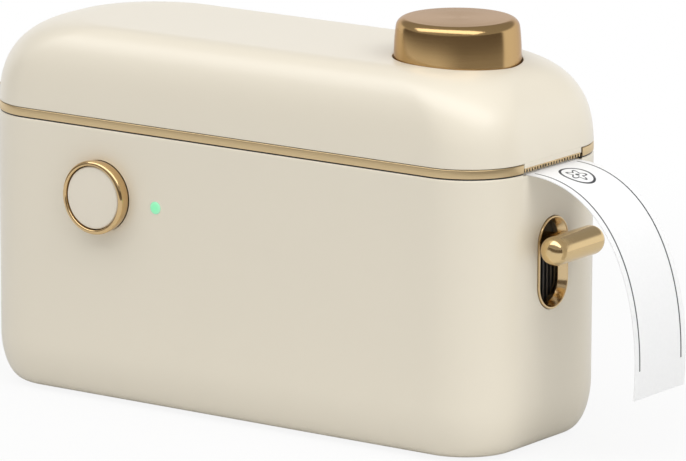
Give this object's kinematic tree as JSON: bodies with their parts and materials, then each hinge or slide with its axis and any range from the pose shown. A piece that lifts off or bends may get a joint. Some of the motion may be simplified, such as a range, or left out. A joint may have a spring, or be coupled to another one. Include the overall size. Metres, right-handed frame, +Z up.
{
  "type": "thermal label printer",
  "caption": "Compact desktop thermal label printer: tub base, domed hinged lid, gold print knob, side cutter lever and a printed label curling from the exit.",
  "frame": {"origin": "centre of the resting face of the non-slip pad, under the middle of the body", "axes": "+X towards the label exit and cutter lever, -Y towards the front with the power button, +Z up"},
  "size_m": [0.1298, 0.0416, 0.0698],
  "materials": {
    "cream_shell": "gloss moulded plastic, warm cream",
    "gold_trim": "satin gold metallised plastic",
    "gold_metal": "gold anodised, satin",
    "gold_hinge": "gold plated leaf",
    "blade_steel": "titanium-coated blade steel",
    "black_plastic": "matt black moulding",
    "grey_plastic": "fine texture dark grey",
    "light_plastic": "natural acetal",
    "mint_light": "clear mint light pipe",
    "steel": "plain steel",
    "magnet_nickel": "nickel plated magnet",
    "bronze": "sintered bronze",
    "circuit_board": "green solder mask",
    "battery_wrap": "foil pouch",
    "pad_rubber": "matt rubber",
    "head_aluminium": "heat sink with a glazed heater line",
    "label_paper": "smooth white thermal label stock",
    "core_board": "wound board tube"
  },
  "bodies": {
    "base": {"base_shell": "cream_shell", "seam_band": "gold_trim", "non_slip_pad": "pad_rubber", "slot_escutcheon": "gold_trim", "power_button_ring": "gold_trim", "status_light_pipe": "mint_light", "usb_port": "steel", "charge_board": "circuit_board", "battery_pack": "battery_wrap", "main_board": "circuit_board", "board_chips": "black_plastic", "power_switch": "steel", "chassis": "steel", "chassis_screws": "steel", "roll_spindle": "light_plastic", "drive_motor": "steel", "motor_screws": "steel", "idler_shaft": "steel", "platen_bushings": "bronze", "cutter_guide_rods": "steel", "cutter_return_springs": "steel", "tape_guide": "black_plastic", "tape_web": "label_paper", "label_strip": "label_paper", "strike_plates": "steel", "hinge_base_leaf": "gold_hinge", "hinge_pin": "steel", "hinge_base_screws": "steel"},
    "lid": {"lid_shell": "cream_shell", "lid_liner": "grey_plastic", "liner_screws": "steel", "lid_magnets": "magnet_nickel", "hinge_lid_leaf": "gold_hinge", "hinge_lid_screws": "steel", "print_switch_board": "circuit_board", "print_switch": "black_plastic", "knob_spring": "steel", "head_springs": "steel", "head_pivot_pin": "steel"},
    "knob": {"print_knob": "gold_metal", "knob_stem": "steel", "knob_retaining_ring": "steel"},
    "power_button": {"power_button_cap": "cream_shell"},
    "cutter": {"lever_handle": "gold_metal", "lever_slide": "black_plastic", "cutter_blade": "blade_steel", "blade_rivets": "steel"},
    "platen": {"platen_roller": "pad_rubber", "platen_shaft": "steel", "platen_gear": "light_plastic"},
    "idler": {"idler_gear": "light_plastic"},
    "pinion": {"motor_pinion": "bronze"},
    "roll": {"label_roll": "label_paper", "roll_core": "core_board"},
    "print_head": {"printhead": "head_aluminium", "head_bracket": "steel"}
  },
  "joints": [
    {"name": "lid_hinge", "type": "hinge", "parent": "base", "child": "lid", "pos_m": [-0.05445, 0, 0.04897], "axis": [0, -1, 0], "range_deg": [0, 95]},
    {"name": "knob_press", "type": "slide", "parent": "lid", "child": "knob", "axis": [0, 0, -1], "range_m": [0, 0.0015], "stiffness_N_per_m": 400, "springref_m": -0.002, "deforming": ["knob_spring"]},
    {"name": "power_button_press", "type": "slide", "parent": "base", "child": "power_button", "axis": [0, 1, 0], "range_m": [0, 0.0008], "stiffness_N_per_m": 800, "springref_m": -0.0005},
    {"name": "cutter_drop", "type": "slide", "parent": "base", "child": "cutter", "axis": [0, 0, -1], "range_m": [0, 0.0065], "stiffness_N_per_m": 150, "springref_m": -0.005, "deforming": ["cutter_return_springs"]},
    {"name": "platen_spin", "type": "hinge", "parent": "base", "child": "platen", "pos_m": [0.038, 0, 0.043], "axis": [0, 1, 0], "continuous": true},
    {"name": "idler_spin", "type": "hinge", "parent": "base", "child": "idler", "pos_m": [0.03312, 0, 0.03604], "axis": [0, 1, 0], "continuous": true},
    {"name": "pinion_spin", "type": "hinge", "parent": "base", "child": "pinion", "pos_m": [0.02411, 0, 0.02973], "axis": [0, 1, 0], "continuous": true},
    {"name": "roll_spin", "type": "hinge", "parent": "base", "child": "roll", "pos_m": [-0.022, 0, 0.027], "axis": [0, 1, 0], "continuous": true},
    {"name": "head_lift", "type": "hinge", "parent": "lid", "child": "print_head", "pos_m": [0.027, 0, 0.04965], "axis": [0, -1, 0], "range_deg": [0, 1.5], "stiffness_Nm_per_rad": 0.08, "springref_deg": -5.73, "deforming": ["head_springs"]}
  ],
  "couplings": [
    {"joint": "platen_spin", "follows": "roll_spin", "ratio": 5},
    {"joint": "idler_spin", "follows": "roll_spin", "ratio": -7.1429},
    {"joint": "pinion_spin", "follows": "roll_spin", "ratio": 19.048}
  ]
}
